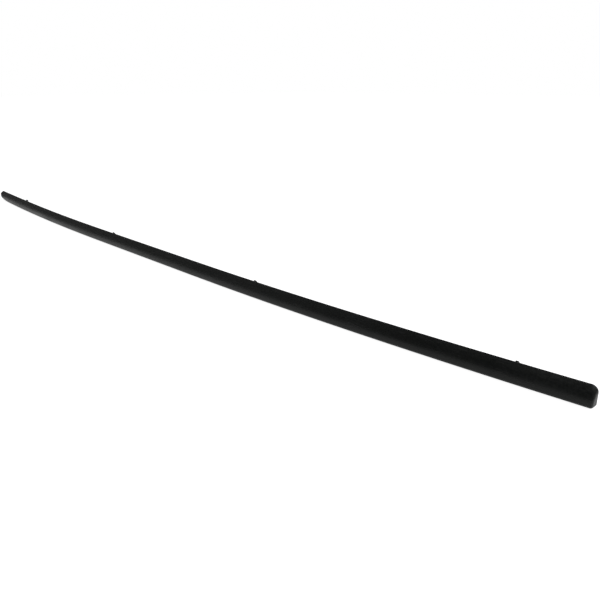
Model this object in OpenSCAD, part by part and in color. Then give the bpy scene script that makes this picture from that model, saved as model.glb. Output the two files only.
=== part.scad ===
/* [Strip] */
// overall length from end to end
length = 1294; // [1165:1:1423]
// height of the strip as it stands on its lower edge
height = 18; // [16.5:0.1:20]
// depth of the section from the back rim to the fullest point of the face
depth = 9.5; // [8.5:0.1:10.5]
// height of the fullest point of the face, also the radius of the lower roll
belly_z = 3.5; // [3.2:0.1:4]
// thickness of the upper lip at the back rim
lip = 1; // [0.8:0.1:1.6]
// wall thickness of the shell
wall = 2.2; // [1.8:0.1:2.5]
// flats that draw the crowned face
crown_steps = 14; // [6:1:20]
// flats that draw the lower roll
roll_steps = 8; // [4:1:12]

/* [Bow] */
// half length of the straight middle stretch
straight_half = 133; // [100:1:170]
// radius of the bow of both outer stretches
bow_r = 5600; // [5000:50:7000]

/* [Ends] */
// corner radius at the top of the right end
right_top_r = 6; // [5:0.1:8]
// corner radius at the foot of the right end
right_foot_r = 2.6; // [2.6:0.1:3.5]
// corner radius at the top of the left end
left_top_r = 2.6; // [2.6:0.1:4]
// length of the long sweep at the foot of the left end
sweep_len = 60; // [45:1:70]
// height of that sweep at the left end
sweep_high = 13; // [10:0.5:13]
// steps that draw the sweep
sweep_steps = 12; // [8:1:20]
// stretch at the left end over which the top edge falls
fall_len = 200; // [120:5:300]
// how far the top edge has fallen at the left end
fall = 1.4; // [0.6:0.1:1.8]
// steps that draw the fall
fall_steps = 10; // [6:1:16]
// plan radius where the face turns into either end
nose_r = 4; // [3:0.1:5]
// thickness of the end walls
end_wall = 2.4; // [2:0.1:2.5]

/* [Ribs] */
// number of cross ribs in the back
rib_count = 12; // [8:1:14]
// distance from rib to rib
rib_pitch = 100; // [90:1:106]
// thickness of one rib
rib_thick = 1.6; // [1.2:0.1:2]
// how far the ribs stay below the back rim
rib_drop = 1; // [0.5:0.1:2]

/* [Fixing lugs] */
// stations of the lugs, measured from the middle of the length
lug_x = [-519, -120, 238, 575]; // [-585:1:590]
// width of a lug along the strip
lug_w = 3; // [2.4:0.1:5]
// reach of a lug behind the back rim
lug_reach = 14.5; // [10:0.5:16]
// thickness of each of its two arms
arm_thick = 2; // [1.6:0.1:2.4]
// height of the upper face of the upper arm
arm_top = 12; // [11:0.1:13]
// height of the lower face of the lower arm
arm_low = 4.2; // [3.6:0.1:5]
// height of the barb on each arm
barb = 1.4; // [1:0.1:1.6]
// length of the barb along the arm
barb_len = 3.5; // [3:0.1:5]
// length of the slope that leads over the barb
barb_lead = 2; // [1:0.1:2.5]
// thickness of the plate that ties both arms inside the shell
web_thick = 2.4; // [2:0.1:3]

/* [Hidden] */
// facets of the small arcs
$fn = 64;
// facets of a full turn of the bow
bow_fn = 1440;
// overlap used where solids are joined or cut through
lap = 1;
// small step into a neighbour so that joined stretches share no gap
weld = 0.01;
// flat of the lower edge, from the back rim to the lower roll
foot = depth - belly_z;
// the middle of that flat lies on Y = 0
foot_mid = foot / 2;
// radius of the crowned face, from the belly to the lip
crown_r = ((depth - lip) ^ 2 + (height - belly_z) ^ 2) / (2 * (depth - lip));
// half the length, and the turn of each bowed stretch, rounded up to a tenth of a degree
half = length / 2;
overrun = 2 * depth;
bow_turn = ceil(10 * asin((half + overrun - straight_half) / bow_r)) / 10;
// depth of a prism that cuts through the bowed strip from front to back
cut_y = 4 * (depth + lug_reach + swing(half));
// radius of the arc along which the top edge falls
fall_r = (fall_len ^ 2 + fall ^ 2) / (2 * fall);
// colour of the plastic
black = [0.032, 0.034, 0.033];

// how far the middle of the foot has swung back at a station x
function swing(x) =
    abs(x) < straight_half ? 0 : bow_r - sqrt(bow_r ^ 2 - (abs(x) - straight_half) ^ 2);

// outer or inner section: x is the distance in front of the back rim, y is up
module section(inset, back) {
    crown = crown_r - inset;
    roll = belly_z - inset;
    top = asin((height - inset - belly_z) / crown);
    polygon(concat(
        [[-back, height - inset]],
        [for (i = [0 : crown_steps])
            let (a = top * (1 - i / crown_steps))
            [depth - crown_r + crown * cos(a), belly_z + crown * sin(a)]],
        [for (i = [1 : roll_steps])
            let (a = 90 * i / roll_steps)
            [foot + roll * cos(a), belly_z - roll * sin(a)]],
        [[-back, inset]]
    ));
}

// the section in children() carried along the bowed line
module sweep() {
    rotate([90, 0, 90])
    linear_extrude(height = 2 * (straight_half + weld), center = true)
    translate([foot_mid, 0])
    mirror([1, 0])
    children();
    for (from = [270, 270 - bow_turn]) {
        translate([from == 270 ? straight_half : -straight_half, bow_r, 0])
        rotate_extrude(angle = bow_turn, start = from, $fn = bow_fn)
        translate([bow_r - foot_mid, 0])
        children();
    }
}

// waste outside a round corner whose tip is the origin
module corner(r) {
    difference() {
        translate([-r, -r]) square(r + lap);
        translate([-r, -r]) circle(r);
    }
}

// front view of the strip, or of the hollow when set in
module outline(inset) {
    x = half - inset;
    difference() {
        translate([-x, -lap]) square([2 * x, height + 2 * lap]);
        translate([x, height - inset]) corner(right_top_r - inset);
        translate([x, inset]) mirror([0, 1]) corner(right_foot_r - inset);
        translate([-x, height - inset]) mirror([1, 0]) corner(left_top_r - inset);
        foot_sweep(-x, inset);
        top_fall(-x, height - inset);
    }
}

// waste under the long sweep of the left end, a quarter of an ellipse
module foot_sweep(x, z) {
    turn = 90 / sweep_steps;
    arc = [
        for (a = [0 : turn : 90])
            [x + sweep_len * (1 - cos(a)), z + sweep_high * (1 - sin(a))]
    ];
    polygon(concat([[x - lap, z - lap - wall], [x - lap, z + sweep_high]], arc,
        [[x + sweep_len, z - lap - wall]]));
}

// waste over the falling top edge of the left end, under an arc of a large circle
module top_fall(x, z) {
    arc = [
        for (i = [0 : fall_steps])
            let (d = fall_len * i / fall_steps)
            [x + fall_len - d, z - fall_r + sqrt(fall_r ^ 2 - d ^ 2)]
    ];
    polygon(concat([[x - lap, z + 2 * wall], [x + fall_len, z + 2 * wall]], arc,
        [[x - lap, z - fall]]));
}

// upright prism that rounds the face into an end, for side 1 or -1
module nose_cut(side) {
    reach = bow_r + depth - foot_mid;
    front = bow_r - sqrt(reach ^ 2 - (half - straight_half) ^ 2);
    turn = asin((half - straight_half) / reach);
    mirror([side < 0 ? 1 : 0, 0, 0])
    translate([half, front, -lap])
    linear_extrude(height = height + 2 * lap)
    rotate(turn)
    mirror([0, 1])
    corner(nose_r);
}

// an outline seen from the front, carried through the depth
module through(inset) {
    rotate([90, 0, 0])
    linear_extrude(height = cut_y, center = true)
    outline(inset);
}

module hollow() {
    intersection() {
        sweep() section(wall, lap);
        through(end_wall);
    }
}

module ribs() {
    intersection() {
        for (i = [0 : rib_count - 1])
            translate([(i - (rib_count - 1) / 2) * rib_pitch, 0, height / 2])
            cube([rib_thick, cut_y, height], center = true);
        sweep() intersection() {
            section(wall / 2, 0);
            translate([rib_drop, 0]) square([depth, height]);
        }
        through(end_wall / 2);
    }
}

// side view of one arm: x runs back from the rim, y up from the arm's inner face
module arm() {
    polygon([
        [-foot_mid, 0],
        [lug_reach, 0],
        [lug_reach, arm_thick / 2],
        [lug_reach - barb_lead, arm_thick + barb],
        [lug_reach - barb_len, arm_thick + barb],
        [lug_reach - barb_len, arm_thick],
        [-foot_mid, arm_thick]
    ]);
}

module lug(x) {
    back = foot_mid + swing(x);
    translate([x + lug_w / 2, back, 0])
    rotate([90, 0, -90])
    mirror([1, 0, 0])
    linear_extrude(height = lug_w) {
        translate([0, arm_top - arm_thick]) arm();
        translate([0, arm_low + arm_thick]) mirror([0, 1]) arm();
    }
    // plate between the arms, sunk into the hollow
    intersection() {
        translate([x - lug_w / 2, back - depth, wall / 2])
        cube([lug_w, depth - rib_drop, height - wall]);
        translate([x - lug_w / 2, back - rib_drop - web_thick - foot_mid, 0])
        cube([lug_w, web_thick + foot_mid, height]);
        sweep() section(wall / 2, 0);
    }
}

module side_moulding() {
    color(black) {
        difference() {
            intersection() {
                sweep() section(0, 0);
                through(0);
            }
            nose_cut(1);
            nose_cut(-1);
            hollow();
        }
        ribs();
        for (x = lug_x) lug(x);
    }
}

side_moulding();
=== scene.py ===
import bpy, bmesh, math
import numpy as np
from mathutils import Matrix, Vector


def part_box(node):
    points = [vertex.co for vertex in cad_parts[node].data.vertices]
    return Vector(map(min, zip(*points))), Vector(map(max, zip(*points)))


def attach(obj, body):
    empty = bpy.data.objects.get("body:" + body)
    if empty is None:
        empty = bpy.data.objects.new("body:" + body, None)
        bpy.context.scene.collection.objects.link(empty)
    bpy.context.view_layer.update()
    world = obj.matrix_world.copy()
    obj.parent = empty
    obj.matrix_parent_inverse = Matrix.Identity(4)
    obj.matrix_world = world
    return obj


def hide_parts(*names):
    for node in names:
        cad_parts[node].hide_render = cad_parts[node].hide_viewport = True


MM = 0.001

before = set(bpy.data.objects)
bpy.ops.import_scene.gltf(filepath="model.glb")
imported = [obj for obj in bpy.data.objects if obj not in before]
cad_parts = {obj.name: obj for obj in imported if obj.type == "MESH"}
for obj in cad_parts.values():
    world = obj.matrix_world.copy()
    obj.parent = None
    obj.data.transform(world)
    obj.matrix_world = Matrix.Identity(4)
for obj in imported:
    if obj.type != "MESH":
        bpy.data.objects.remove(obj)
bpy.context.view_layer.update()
scene = bpy.context.scene


# Sizes of the strip in millimetres. The solids have the same ones, with larger corners at the ends.
low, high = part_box("side_moulding")
HALF = (high.x - low.x) / 2 / MM
HEIGHT = (high.z - low.z) / MM
DEPTH = 9.5            # back rim to the fullest point of the face
BELLY = 3.5            # height of that point, and radius of the lower roll
LIP = 1.0              # flat of the top edge
WALL = 2.2
END_WALL = 2.4
STRAIGHT_HALF = 133.0  # half length of the straight middle stretch
BOW_R = 5600.0         # radius of the bow of both outer stretches
FOOT_MID = (DEPTH - BELLY) / 2
CROWN_R = ((DEPTH - LIP) ** 2 + (HEIGHT - BELLY) ** 2) / (2 * (DEPTH - LIP))
RIGHT_TOP_R, RIGHT_FOOT_R = 6.0, 2.0
LEFT_TOP_R = 0.7
NOSE_R = {1: 3.0, -1: 1.2}    # where the face turns into the right and the left end
SWEEP_LEN, SWEEP_HIGH = 60.0, 13.0
SWEEP_ROLL = 1.6       # roll left under the face at the tip of the sweep
SWEEP_EASE = 0.4       # share of the sweep's height over which the roll shrinks to that
FALL_LEN, FALL = 200.0, 1.4
FALL_R = (FALL_LEN ** 2 + FALL ** 2) / (2 * FALL)
RIM_ROUND = 0.3        # rounding of both edges of the back rim
TIP_WALL = 6.5         # solid stretch at the swept-up tip, before the hollow starts
LEAST_R = 0.4          # smallest rounding inside the hollow

# Mesh steps
STRIP_STEPS = 5        # across the lip, the foot and each end face
CROWN_STEPS = 30
ROLL_STEPS = 12
NOSE_STEPS = 12
FIRST_GAP, GAP_GROWTH = 0.7, 1.1
STATION_GAP = 5.0      # widest gap between two lines along the strip
LEAST_GAP = 1.0        # no line comes nearer to the one at mid-length
END_BLEND = 25.0       # stretch over which the lines behind a rounded end straighten
RIM_TURNS = (0, 30, 60, 90)
WELD_DIGITS = 4        # points that agree to so many digits are one
SHARP_ANGLE = math.radians(38)    # edges that turn by more stay sharp


def plan_y(x, d):
    """Y of a line that runs at the distance d in front of the back rim"""
    out = max(abs(x) - STRAIGHT_HALF, 0.0)
    return BOW_R - math.sqrt((BOW_R - FOOT_MID + d) ** 2 - out ** 2)


def swing(x):
    """how far the strip has bowed back at a station x"""
    return plan_y(x, FOOT_MID)


def smooth(t):
    """eases from 0 to 1"""
    t = min(max(t, 0.0), 1.0)
    return t * t * (3 - 2 * t)


def toward_rim(d, i):
    """step i of the lip, the foot or an end face, from the rim to the distance d"""
    return RIM_ROUND + (d - RIM_ROUND) * i / STRIP_STEPS


class Skin:
    """One skin of the shell: no inset gives the outside, a wall's inset the hollow.

    Side is 1 for the right end and -1 for the left, a is a distance from an end, and d a
    distance in front of the back rim.
    """

    def __init__(self, inset, end_inset, tip_inset):
        self.inset = inset
        self.sweep_at = end_inset
        self.close = {1: end_inset, -1: tip_inset}
        self.crown = CROWN_R - inset
        self.nose = {side: max(r - end_inset, LEAST_R) for side, r in NOSE_R.items()}
        self.centre_d = DEPTH - CROWN_R

    def top(self, a, side):
        """height of the top edge at the distance a from an end"""
        z = HEIGHT - self.inset
        run = FALL_LEN - (a - self.sweep_at)
        if side < 0 and run > 0:
            z -= FALL_R - math.sqrt(FALL_R ** 2 - run ** 2)
        return z

    def foot(self, a, side):
        """height of the lower edge at the distance a from an end"""
        run = a - self.sweep_at
        if side > 0 or run >= SWEEP_LEN:
            return self.inset
        return self.inset + SWEEP_HIGH * (1 - math.sqrt(1 - (1 - run / SWEEP_LEN) ** 2))

    def roll(self, a, side):
        """radius of the roll, its centre and the slope where the face meets it"""
        lift = (self.foot(a, side) - self.inset) / SWEEP_HIGH
        r = max(BELLY - self.inset, LEAST_R)
        r += (max(SWEEP_ROLL - self.inset, LEAST_R) - r) * smooth(lift / SWEEP_EASE)
        z = max(self.foot(a, side) + r, BELLY)
        slope = math.asin((z - BELLY) / (self.crown - r))
        return r, self.centre_d + (self.crown - r) * math.cos(slope), z, slope

    def profile(self, a, side):
        """front profile at a distance from an end: (d, z) down the crown and round the roll"""
        r, roll_d, roll_z, slope = self.roll(a, side)
        stretch = (self.top(a, side) - BELLY) / (HEIGHT - self.inset - BELLY)
        steep = math.asin((HEIGHT - self.inset - BELLY) / self.crown)

        def lifted(z):
            return BELLY + (z - BELLY) * stretch if z > BELLY else z

        line = []
        for i in range(CROWN_STEPS + 1):
            t = steep + (slope - steep) * i / CROWN_STEPS
            line.append((self.centre_d + self.crown * math.cos(t),
                         lifted(BELLY + self.crown * math.sin(t))))
        for i in range(1, ROLL_STEPS + 1):
            t = slope - (slope + math.pi / 2) * i / ROLL_STEPS
            line.append((roll_d + r * math.cos(t), lifted(roll_z + r * math.sin(t))))
        return line

    def corners(self, side):
        """roundings of an end: run at the top, run and rise at the foot"""
        if side > 0:
            foot = max(RIGHT_FOOT_R - self.inset, LEAST_R)
            return max(RIGHT_TOP_R - self.inset, LEAST_R), foot, foot
        top = max(LEFT_TOP_R - self.inset, LEAST_R)
        return top, top, 0.0 if self.inset == 0 else LEAST_R

    def front(self, side, a_top, a_face, a_foot, cut_top=0.0, cut_foot=0.0, shrink=1.0):
        """line down the face and round the roll, as (distance from the end, d, z)

        a_top, a_face and a_foot say how far from the end the line runs at each of those, cut_top
        and cut_foot what the rounded corners take there, and shrink scales the depth.
        """
        z_top = self.top(a_top, side) - cut_top
        z_foot = self.foot(a_foot, side) + cut_foot
        profile = self.profile(a_foot, side)
        span = profile[0][1] - profile[-1][1]
        line = []
        for i, (d, z) in enumerate(profile):
            if i <= CROWN_STEPS:
                a = a_top + (a_face - a_top) * smooth(i / CROWN_STEPS)
            else:
                a = a_face + (a_foot - a_face) * smooth((i - CROWN_STEPS) / ROLL_STEPS)
            v = (profile[0][1] - z) / span
            line.append((a, RIM_ROUND + (d - RIM_ROUND) * shrink, z_top + (z_foot - z_top) * v))
        return line

    def rounded(self, side, j):
        """step j of the rounding from the end face into the strip"""
        start = self.close[side]
        top_run, foot_run, foot_rise = self.corners(side)
        deep = max(d for d, z in self.profile(start, side))
        nose = self.nose[side]
        t = math.pi / 2 * j / NOSE_STEPS
        run, rest = 1 - math.cos(t), 1 - math.sin(t)
        return self.front(side, start + top_run * run, start + nose * run,
                          start + foot_run * run, top_run * rest, foot_rise * rest,
                          1 - nose / deep * rest)

    def point(self, side, a, d, z):
        """place on the bowed strip"""
        x = side * (HALF - a)
        return (x, plan_y(x, d), z)

    def line(self, side, front):
        """points over the skin along a front line: rim, lip, face, roll, foot, rim"""
        lip = [(front[0][0], toward_rim(front[0][1], i), front[0][2]) for i in range(STRIP_STEPS)]
        sole = [(front[-1][0], toward_rim(front[-1][1], i), front[-1][2]) for i in range(STRIP_STEPS)]
        return [self.point(side, *p) for p in lip + front + sole[::-1]]

    def end_lines(self, side):
        """lines from an end face round its corners and on along the face to mid-length"""
        nose = self.nose[side]
        start = self.close[side] + nose
        top_run, foot_run, foot_rise = self.corners(side)
        lines = [self.line(side, self.rounded(side, j)) for j in range(NOSE_STEPS + 1)]
        for s in stations():
            a = start + s * (HALF - start) / HALF
            ease = 1 - smooth(s / END_BLEND)
            lines.append(self.line(side, self.front(side, a + (top_run - nose) * ease, a,
                                                    a + (foot_run - nose) * ease)))
        return lines

    def end_face(self, side):
        """rows over a flat end face, from the rim to the line that bounds it"""
        edge = self.rounded(side, 0)
        return [[self.point(side, a, toward_rim(d, i), z) for a, d, z in edge]
                for i in range(STRIP_STEPS + 1)]


def stations():
    """distances along the face from the nose to mid-length, fine near the end"""
    out, s, gap = [], 0.0, FIRST_GAP
    while s + gap < HALF - LEAST_GAP:
        s += gap
        out.append(s)
        gap = min(gap * GAP_GROWTH, STATION_GAP)
    return out[:-1] + [HALF]


class Builder:
    """collects welded points and faces"""

    def __init__(self):
        self.points, self.index, self.faces = [], {}, []

    def add(self, p):
        """number of the point, which is new or one that is there already"""
        key = tuple(round(value, WELD_DIGITS) for value in p)
        if key not in self.index:
            self.index[key] = len(self.points)
            self.points.append(p)
        return self.index[key]

    def face(self, *corners):
        """face over its different corners, none where fewer than three are left"""
        ring = []
        for c in corners:
            if c not in ring:
                ring.append(c)
        if len(ring) >= 3:
            self.faces.append(ring)

    def grid(self, rows, closed=False):
        """faces between rows of points; closed joins each row's end to its start"""
        ids = [[self.add(p) for p in row] for row in rows]
        last = len(ids[0]) if closed else len(ids[0]) - 1
        for r0, r1 in zip(ids, ids[1:]):
            for j in range(last):
                k = (j + 1) % len(r0)
                self.face(r0[j], r0[k], r1[k], r1[j])
        return ids


def rim_rows(loop, towards):
    """rows that round a rim edge: towards is 1 to turn inwards, -1 to turn outwards"""
    flat = np.array([(p[0], p[2]) for p in loop])
    run = np.roll(flat, -1, 0) - np.roll(flat, 1, 0)
    run /= np.linalg.norm(run, axis=1)[:, None]
    normal = np.stack([run[:, 1], -run[:, 0]], 1)
    rows = []
    for turn in RIM_TURNS:
        t = math.radians(turn)
        move = flat + towards * RIM_ROUND * (1 - math.cos(t)) * normal
        d = RIM_ROUND * (1 - math.sin(t))
        rows.append([(x, plan_y(x, d), z) for x, z in move])
    return rows


def add_skin(builder, skin):
    """adds a skin and gives its edge at the back rim, clockwise as seen from the front"""
    lines = skin.end_lines(-1) + skin.end_lines(1)[-2::-1]
    left_face, right_face = skin.end_face(-1), skin.end_face(1)
    builder.grid(lines)
    builder.grid(left_face)
    builder.grid(right_face)
    top = [line[0] for line in lines]
    foot = [line[-1] for line in reversed(lines)]
    return top + right_face[0][1:-1] + foot + left_face[0][-2:0:-1]


def new_object(name, points, faces):
    """mesh object from points in metres"""
    mesh = bpy.data.meshes.new(name)
    mesh.from_pydata(points, [], faces)
    obj = bpy.data.objects.new(name, mesh)
    scene.collection.objects.link(obj)
    return obj


def edit_mesh(obj, edit):
    """runs a bmesh edit on an object"""
    mesh = bmesh.new()
    mesh.from_mesh(obj.data)
    edit(mesh)
    mesh.to_mesh(obj.data)
    mesh.free()


def built_object(name, builder):
    """object of a builder's points in millimetres, with its faces turned outwards"""
    obj = new_object(name, [(x * MM, y * MM, z * MM) for x, y, z in builder.points], builder.faces)
    edit_mesh(obj, lambda mesh: bmesh.ops.recalc_face_normals(mesh, faces=mesh.faces))
    return obj


def shell():
    """the hollow strip without its ribs and lugs"""
    builder = Builder()
    outside = rim_rows(add_skin(builder, Skin(0.0, 0.0, 0.0)), 1)
    inside = rim_rows(add_skin(builder, Skin(WALL, END_WALL, TIP_WALL)), -1)
    builder.grid(outside + inside[::-1], closed=True)
    return built_object("side_moulding_strip", builder)


# Ribs, lugs and ejector pads in the back, in millimetres
RIB_COUNT, RIB_PITCH = 12, 100.0
RIB_THICK, RIB_TIP_THICK = 1.6, 1.3
RIB_DROP = 1.0         # from the back rim to a rib's free edge
RIB_EDGE = 0.25        # rounding of that edge
RIB_ROUND = (1.0, 0.3, 0.0)    # steps of the rounding, as shares of it
SINK = 0.6             # how far ribs and lugs run into the wall that carries them
LUG_X = (-519.0, -120.0, 238.0, 575.0)
LUG_W = 3.0
LUG_REACH = 14.5
LUG_EDGE = 0.3         # rounding of the lugs' edges
LUG_EDGE_STEPS = 3
ARM_THICK, ARM_TOP, ARM_LOW = 2.0, 12.0, 4.2
BARB, BARB_LEN, BARB_LEAD = 1.4, 3.5, 2.0
PAD_R, PAD_LIFT, PAD_Z = 1.6, 0.25, 5.6
PAD_SIDES = 32


def add_prism(builder, rows):
    """closed solid through rows of outline points"""
    ids = builder.grid(rows, closed=True)
    builder.face(*ids[0])
    builder.face(*reversed(ids[-1]))


def add_rib(builder, x, thick, tip):
    """cross rib with draft and a rounded free edge, sunk into the walls"""
    profile = Skin(WALL - SINK, END_WALL, TIP_WALL).profile(HALF - abs(x), 1 if x > 0 else -1)
    deep = max(d for d, z in profile)
    sunk = [(d, z) for d, z in profile if d > RIB_DROP + RIB_EDGE]
    rows = []
    for side, edge in [(-1, e) for e in RIB_ROUND] + [(1, e) for e in reversed(RIB_ROUND)]:
        free = RIB_DROP + RIB_EDGE * edge ** 2
        row = []
        for d, z in [(free, profile[0][1])] + sunk + [(free, profile[-1][1])]:
            sink = (d - RIB_DROP) / (deep - RIB_DROP)
            half = (tip + (thick - tip) * sink) / 2 - RIB_EDGE * (1 - edge) ** 2
            row.append((x + side * half, plan_y(x, d), z))
        rows.append(row)
    add_prism(builder, rows)


def add_pad(builder, x):
    """round pad left by an ejector pin on the inside of the face

    Its sides start half a step round, so that none of its edges lies in a line of the shell.
    """
    crown = CROWN_R - WALL
    wall_d = DEPTH - CROWN_R + math.sqrt(crown ** 2 - (PAD_Z + PAD_R - BELLY) ** 2)
    turns = [2 * math.pi * (i + 0.5) / PAD_SIDES for i in range(PAD_SIDES)]
    add_prism(builder, [[(x + PAD_R * math.cos(t), plan_y(x, d), PAD_Z + PAD_R * math.sin(t))
                         for t in turns] for d in (wall_d - PAD_LIFT, wall_d + 2 * SINK)])


def arm_outline(inner_z, up):
    """side view of an arm: (distance behind the rim, z)"""
    shape = [
        (-DEPTH / 2, 0.0),
        (LUG_REACH, 0.0),
        (LUG_REACH, ARM_THICK / 2),
        (LUG_REACH - BARB_LEAD, ARM_THICK + BARB),
        (LUG_REACH - BARB_LEN, ARM_THICK + BARB),
        (LUG_REACH - BARB_LEN, ARM_THICK),
        (-DEPTH / 2, ARM_THICK),
    ]
    return [(back, inner_z + up * z) for back, z in shape]


def lug_arms():
    """the snap arms, with rounded edges"""
    builder = Builder()
    for x in LUG_X:
        y = FOOT_MID + swing(x)
        for inner_z, up in ((ARM_TOP - ARM_THICK, 1), (ARM_LOW + ARM_THICK, -1)):
            outline = arm_outline(inner_z, up)
            add_prism(builder, [[(x + side * LUG_W / 2, y + back, z) for back, z in outline]
                                for side in (-1, 1)])
    arms = built_object("arms", builder)
    edit_mesh(arms, lambda mesh: bmesh.ops.bevel(
        mesh, geom=mesh.edges, offset=LUG_EDGE * MM, segments=LUG_EDGE_STEPS, profile=0.5,
        affect="EDGES", clamp_overlap=True))
    return arms


def in_a_row(count, pitch):
    """stations of so many like things, centred on the strip"""
    return [(i - (count - 1) / 2) * pitch for i in range(count)]


def ribs_and_pads():
    """ribs, a pad between each two of them, and the plates that carry the lugs"""
    builder = Builder()
    for x in in_a_row(RIB_COUNT, RIB_PITCH):
        add_rib(builder, x, RIB_THICK, RIB_TIP_THICK)
    for x in in_a_row(RIB_COUNT - 1, RIB_PITCH):
        add_pad(builder, x)
    for x in LUG_X:
        add_rib(builder, x, LUG_W, LUG_W)
    return built_object("ribs", builder)


def joined(base, others):
    """base with the others fused to it, as one closed mesh"""
    for other in others:
        union = base.modifiers.new("union", "BOOLEAN")
        union.operation = "UNION"
        union.solver = "EXACT"
        union.use_self = True
        union.object = other
    graph = bpy.context.evaluated_depsgraph_get()
    mesh = bpy.data.meshes.new_from_object(base.evaluated_get(graph))
    base.modifiers.clear()
    base.data = mesh
    for other in others:
        bpy.data.objects.remove(other)
    return base


# Camera, at the photograph's viewing angle
CAMERA_PLACE = Vector((802.9, -442.1, 240.6)) * MM
CAMERA_YAW = math.radians(46.637)     # turned to the left of +Y
CAMERA_PITCH = math.radians(19.210)   # tipped down
CAMERA_RANGE = (0.01, 50.0)           # metres
SENSOR = 36.0
PHOTO_WIDTH = 600.0
LENS_PIXELS = 621.5                   # focal length in pixels of the photograph


def make_camera():
    data = bpy.data.cameras.new("camera")
    data.sensor_width = SENSOR
    data.sensor_fit = "HORIZONTAL"
    data.lens = SENSOR * LENS_PIXELS / PHOTO_WIDTH
    data.clip_start, data.clip_end = CAMERA_RANGE
    camera = bpy.data.objects.new("camera", data)
    camera.location = CAMERA_PLACE
    camera.rotation_euler = (math.pi / 2 - CAMERA_PITCH, 0.0, CAMERA_YAW)
    scene.collection.objects.link(camera)
    scene.camera = camera


class Nodes:
    """places and links shader nodes"""

    def __init__(self, tree):
        self.tree = tree

    def add(self, kind, inputs=None, **settings):
        node = self.tree.nodes.new(kind)
        for name, value in settings.items():
            setattr(node, name, value)
        for name, value in (inputs or {}).items():
            self.feed(node, name, value)
        return node

    def feed(self, node, name, value):
        """links a socket to another node's output, or sets it to a value"""
        if isinstance(value, bpy.types.NodeSocket):
            self.tree.links.new(value, node.inputs[name])
        else:
            node.inputs[name].default_value = value

    def noise(self, where, scale, detail, rough):
        return self.add("ShaderNodeTexNoise", {"Vector": where, "Scale": scale, "Detail": detail,
                                               "Roughness": rough}).outputs["Fac"]

    def ranged(self, value, low_in, high_in, low_out, high_out):
        return self.add("ShaderNodeMapRange", {"Value": value, "From Min": low_in,
                                               "From Max": high_in, "To Min": low_out,
                                               "To Max": high_out}).outputs["Result"]

    def maths(self, operation, first, second):
        return self.add("ShaderNodeMath", {0: first, 1: second}, operation=operation).outputs[0]

    def mixed(self, share, first, second):
        """colour between two others; the mix node names its colour sockets by number"""
        node = self.add("ShaderNodeMix", data_type="RGBA")
        for socket, value in ((0, share), (6, first), (7, second)):
            self.feed(node, socket, value)
        return node.outputs[2]

    def bump(self, height, strength, depth, over=None):
        """normal of a relief with a depth in millimetres, over another normal or none"""
        inputs = {"Strength": strength, "Distance": depth * MM, "Height": height}
        if over is not None:
            inputs["Normal"] = over
        return self.add("ShaderNodeBump", inputs).outputs["Normal"]


def principled(name, specular):
    """new material, its shader, and what places more nodes in it"""
    mat = bpy.data.materials.new(name)
    mat.use_nodes = True
    bsdf = mat.node_tree.nodes["Principled BSDF"]
    bsdf.inputs["Specular IOR Level"].default_value = specular
    return mat, bsdf, Nodes(mat.node_tree)


# Black plastic
DEEP_BLACK = (0.0066, 0.0075, 0.0071, 1)
PALE_BLACK = (0.0200, 0.0217, 0.0208, 1)
SCUFFED = (0.0450, 0.0460, 0.0455, 1)
PLASTIC_SPECULAR = 0.2
# Noises: features in a metre, detail and roughness
DRIFT = (14.0, 3.0, 0.5)
MOTTLE = (420.0, 3.0, 0.6)
GRAIN = (1700.0, 3.0, 0.6)
PATCHES = (45.0, 2.0, 0.5)
STREAKS = (1.0, 4.0, 0.7)
STREAK_SCALE = (6.0, 900.0, 900.0)    # features in a metre along and across the strip
# Span of a noise's values, and what it is turned into
NOISE_SPAN = (0.3, 0.7)
TONE_DRIFT, TONE_MOTTLE = (0.25, 1.0), (0.3, 1.0)
ROUGH_DRIFT, ROUGH_MOTTLE = (0.34, 0.46), (-0.06, 0.06)
STREAK_SPAN, STREAK_SHARE = (0.54, 0.64), (0.0, 0.7)
PATCH_SPAN, PATCH_SHARE = (0.50, 0.62), (0.0, 1.0)
ROUGH_SCUFF = 0.14
# Reliefs: strength and depth in millimetres
GRAIN_BUMP = (0.6, 0.04)
MOTTLE_BUMP = (0.35, 0.06)


def black_plastic():
    """satin moulded plastic: fine grain, drifting tone and gloss, faint scuffs along the strip"""
    mat, bsdf, nodes = principled("black_plastic", PLASTIC_SPECULAR)
    where = nodes.add("ShaderNodeTexCoord").outputs["Object"]
    drift = nodes.noise(where, *DRIFT)
    mottle = nodes.noise(where, *MOTTLE)
    grain = nodes.noise(where, *GRAIN)
    stretched = nodes.add("ShaderNodeMapping", {"Vector": where, "Scale": STREAK_SCALE})
    streaks = nodes.noise(stretched.outputs["Vector"], *STREAKS)
    patches = nodes.noise(where, *PATCHES)
    scuff = nodes.maths("MULTIPLY", nodes.ranged(streaks, *STREAK_SPAN, *STREAK_SHARE),
                        nodes.ranged(patches, *PATCH_SPAN, *PATCH_SHARE))
    tone = nodes.maths("MULTIPLY", nodes.ranged(drift, *NOISE_SPAN, *TONE_DRIFT),
                       nodes.ranged(mottle, *NOISE_SPAN, *TONE_MOTTLE))
    base = nodes.mixed(tone, DEEP_BLACK, PALE_BLACK)
    nodes.feed(bsdf, "Base Color", nodes.mixed(scuff, base, SCUFFED))
    gloss = nodes.maths("ADD", nodes.ranged(drift, *NOISE_SPAN, *ROUGH_DRIFT),
                        nodes.ranged(mottle, *NOISE_SPAN, *ROUGH_MOTTLE))
    dulled = nodes.maths("MULTIPLY", scuff, ROUGH_SCUFF)
    nodes.feed(bsdf, "Roughness", nodes.maths("ADD", gloss, dulled))
    fine = nodes.bump(grain, *GRAIN_BUMP)
    nodes.feed(bsdf, "Normal", nodes.bump(mottle, *MOTTLE_BUMP, fine))
    return mat


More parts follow.
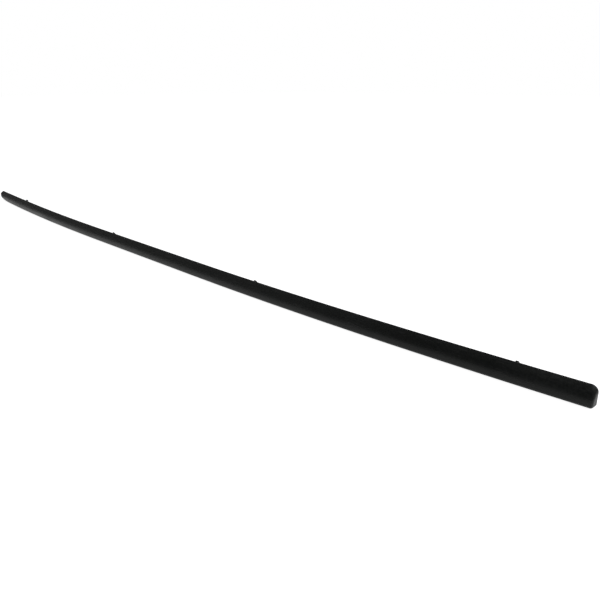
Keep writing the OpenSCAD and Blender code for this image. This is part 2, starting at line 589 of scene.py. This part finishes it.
# Studio, in metres
FLOOR_HALF = 12.0
FLOOR_ALBEDO = 0.4
FLOOR_GLOW = 0.93         # share of the floor's white that needs no lamp
FLAG_RADIUS = 3.0
FLAG_TURN = (155, 400)    # degrees round from +X, seen from above
FLAG_LIFT = (1, 165)      # degrees from the floor in front to the floor behind
FLAG_STEPS = 24
# Flag colours: dark all round, and the pale colour of a painted pool of light that brightens the
# strip's reflection
FLAG_DARK, FLAG_PAINTED_LIGHT = 0.12, 0.95
PAINTED_LIGHT_X, PAINTED_LIGHT_FADE = -1.9, 1.7    # centre of the painted pool of light on the flag, and how far it takes to fade to dark
SOFTBOX_PLACE = (1.6, 1.6, 2.4)
SOFTBOX_SIDE = 1.5
SOFTBOX_WATTS = 72
WORLD_LIGHT = 0.25        # what the white world gives as light


def seen_directly(nodes):
    """1 for camera, glossy and transmission rays, 0 for the rest"""
    path = nodes.add("ShaderNodeLightPath").outputs
    both = nodes.maths("MAXIMUM", path["Is Camera Ray"], path["Is Glossy Ray"])
    return nodes.maths("MAXIMUM", both, path["Is Transmission Ray"])


def matt(name, albedo):
    """grey material without gloss"""
    mat, bsdf, nodes = principled(name, 0.0)
    bsdf.inputs["Base Color"].default_value = (albedo, albedo, albedo, 1)
    bsdf.inputs["Roughness"].default_value = 1.0
    return mat, bsdf, nodes


def make_floor():
    mat, bsdf, nodes = matt("floor", FLOOR_ALBEDO)
    bsdf.inputs["Emission Color"].default_value = (1, 1, 1, 1)
    nodes.feed(bsdf, "Emission Strength", nodes.maths("MULTIPLY", seen_directly(nodes), FLOOR_GLOW))
    s = FLOOR_HALF
    floor = new_object("floor", [(-s, -s, 0), (s, -s, 0), (s, s, 0), (-s, s, 0)], [(0, 1, 2, 3)])
    floor.data.materials.append(mat)


def angles(first, last):
    """angles at the steps of the flag, between two in degrees"""
    return [math.radians(first + (last - first) * i / FLAG_STEPS) for i in range(FLAG_STEPS + 1)]


def make_flag():
    """grey cloth curved round the front of the set and over it, seen only in reflections; its palest
    part, at the left front, is a painted pool of light that brightens the strip's reflection
    """
    mat, bsdf, nodes = matt("flag", FLAG_DARK)
    where = nodes.add("ShaderNodeTexCoord").outputs["Object"]
    x = nodes.add("ShaderNodeSeparateXYZ", {"Vector": where}).outputs["X"]
    # painted light: the colour turns pale round one place along x, so the strip's face reflects more
    # light from there
    off = nodes.maths("ABSOLUTE", nodes.maths("SUBTRACT", x, PAINTED_LIGHT_X), 0.0)
    nodes.feed(bsdf, "Base Color", nodes.ranged(off, 0.0, PAINTED_LIGHT_FADE, FLAG_PAINTED_LIGHT, FLAG_DARK))
    builder = Builder()
    builder.grid([[(FLAG_RADIUS * math.cos(turn),
                    FLAG_RADIUS * math.sin(turn) * math.cos(lift),
                    FLAG_RADIUS * math.sin(lift)) for turn in angles(*FLAG_TURN)]
                  for lift in angles(*FLAG_LIFT)])
    flag = new_object("flag", builder.points, builder.faces)
    flag.data.materials.append(mat)
    flag.visible_camera = False
    flag.visible_shadow = False
    flag.visible_diffuse = False


def make_softbox():
    """square lamp behind the strip to the right, aimed at the middle of its length"""
    data = bpy.data.lights.new("softbox", "AREA")
    data.shape = "SQUARE"
    data.size = SOFTBOX_SIDE
    data.energy = SOFTBOX_WATTS
    lamp = bpy.data.objects.new("softbox", data)
    lamp.location = SOFTBOX_PLACE
    lamp.rotation_euler = Vector(SOFTBOX_PLACE).to_track_quat("Z", "Y").to_euler()
    scene.collection.objects.link(lamp)


def make_world():
    world = bpy.data.worlds.new("world")
    scene.world = world
    world.use_nodes = True
    nodes = Nodes(world.node_tree)
    back = world.node_tree.nodes["Background"]
    back.inputs["Color"].default_value = (1, 1, 1, 1)
    nodes.feed(back, "Strength", nodes.ranged(seen_directly(nodes), 0.0, 1.0, WORLD_LIGHT, 1.0))


def make_strip():
    strip = joined(shell(), [ribs_and_pads(), lug_arms()])
    strip.data.shade_smooth()
    strip.data.set_sharp_from_angle(angle=SHARP_ANGLE)
    strip.data.materials.append(black_plastic())
    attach(strip, "root")
    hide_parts("side_moulding")


make_camera()
make_strip()
make_floor()
make_flag()
make_softbox()
make_world()

scene.view_settings.view_transform = "Standard"
